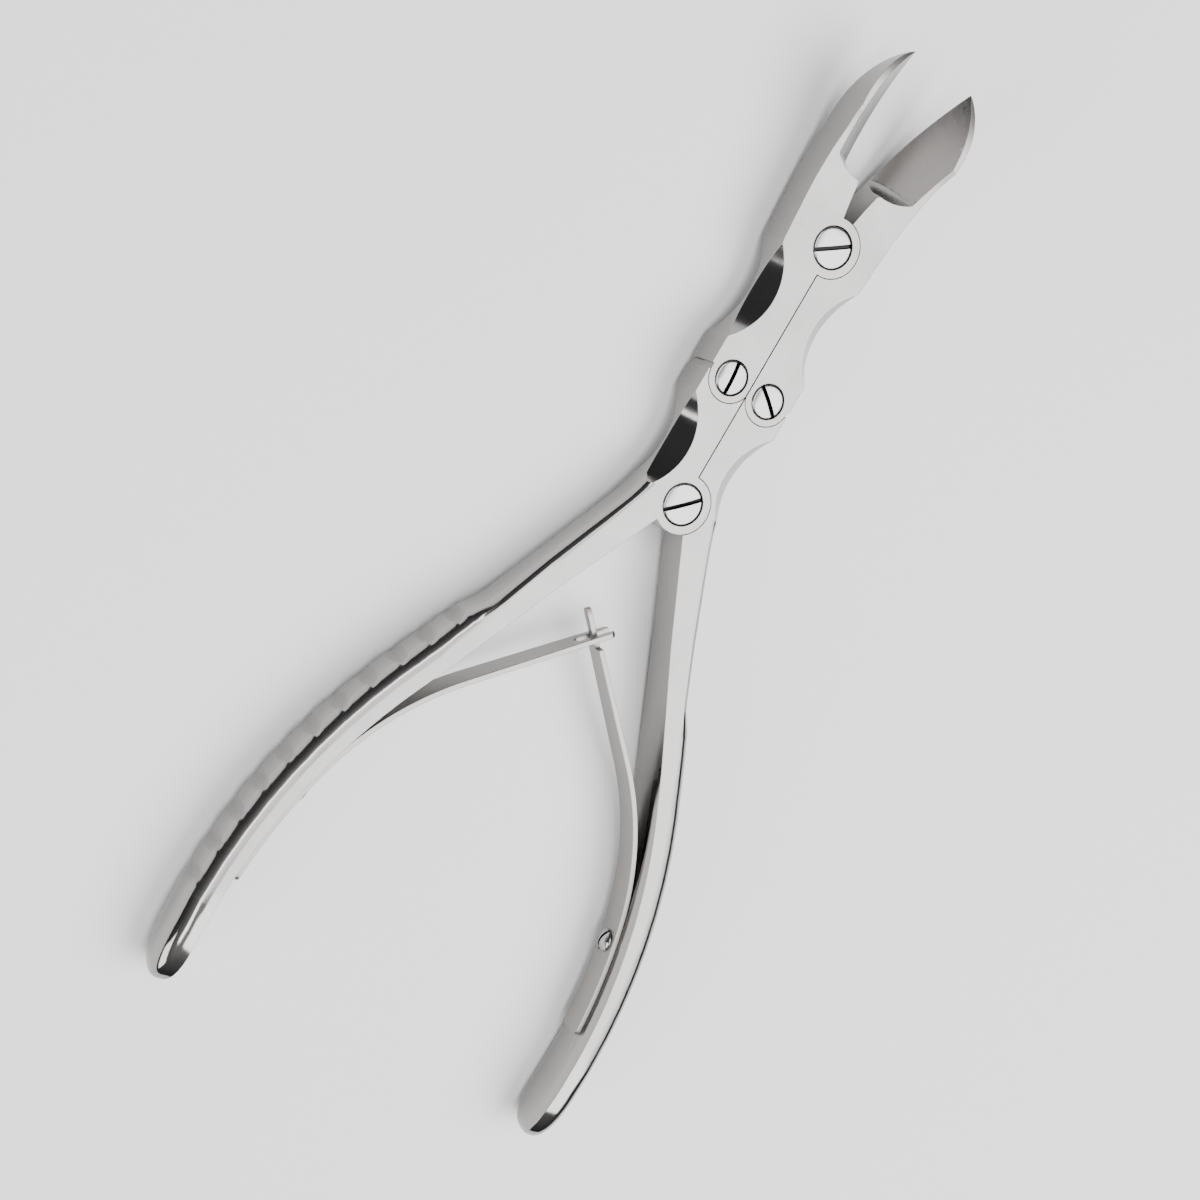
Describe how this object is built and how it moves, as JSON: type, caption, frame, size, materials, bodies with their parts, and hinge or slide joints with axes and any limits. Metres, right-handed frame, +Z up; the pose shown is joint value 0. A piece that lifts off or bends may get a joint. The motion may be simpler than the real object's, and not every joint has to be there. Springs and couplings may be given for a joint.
{
  "type": "double-action cutting pliers",
  "caption": "Compound-lever cutting pliers with upswept blades, four-bar linkage, notched bowed handles and forked leaf springs, jaws open.",
  "frame": {"origin": "middle of the bounding box's underside, with the jaws open; X = 0 is the middle plane of the linkage", "axes": "+Y towards the blade tips, +Z up, the way the blades curve and the screw heads face; the handles run to -Y"},
  "size_m": [0.1174, 0.27, 0.0185],
  "materials": {
    "tool_steel": "satin",
    "screw_steel": "polished",
    "spring_steel": "satin"
  },
  "bodies": {
    "left_jaw_body": {"left_jaw": "tool_steel"},
    "right_jaw_body": {"right_jaw": "tool_steel", "jaw_pivot_screw": "screw_steel"},
    "left_handle_body": {"left_handle": "tool_steel", "left_link_screw": "screw_steel", "left_spring_foot": "spring_steel", "left_spring_screw": "screw_steel"},
    "right_handle_body": {"right_handle": "tool_steel", "right_link_screw": "screw_steel", "handle_pivot_screw": "screw_steel", "right_spring_foot": "spring_steel", "right_spring_screw": "screw_steel"},
    "left_leaf_body": {"left_spring_leaf": "spring_steel"},
    "right_leaf_body": {"right_spring_leaf": "spring_steel"}
  },
  "joints": [
    {"name": "jaw_pivot", "type": "hinge", "parent": "left_jaw_body", "child": "right_jaw_body", "pos_m": [0, 0.08777, 0.0073], "axis": [0, 0, 1], "range_deg": [0, 21.8], "stiffness_Nm_per_rad": 0.6},
    {"name": "left_link", "type": "hinge", "parent": "left_jaw_body", "child": "left_handle_body", "pos_m": [-0.00575, 0.04927, 0.0073], "axis": [0, 0, 1], "range_deg": [0, 24.6]},
    {"name": "right_link", "type": "hinge", "parent": "right_jaw_body", "child": "right_handle_body", "pos_m": [0.00575, 0.04927, 0.0073], "axis": [0, 0, 1], "range_deg": [-24.6, 0]},
    {"name": "left_spring_flex", "type": "hinge", "parent": "left_handle_body", "child": "left_leaf_body", "pos_m": [-0.03895, -0.06262, 0.0073], "axis": [0, 0, 1], "range_deg": [0, 10]},
    {"name": "right_spring_flex", "type": "hinge", "parent": "right_handle_body", "child": "right_leaf_body", "pos_m": [0.03895, -0.06262, 0.0073], "axis": [0, 0, 1], "range_deg": [-10, 0]}
  ],
  "couplings": [
    {"joint": "left_link", "follows": "jaw_pivot", "ratio": 1.1248},
    {"joint": "right_link", "follows": "jaw_pivot", "ratio": -1.1248},
    {"joint": "left_spring_flex", "follows": "jaw_pivot", "ratio": 0.455},
    {"joint": "right_spring_flex", "follows": "jaw_pivot", "ratio": -0.455}
  ]
}
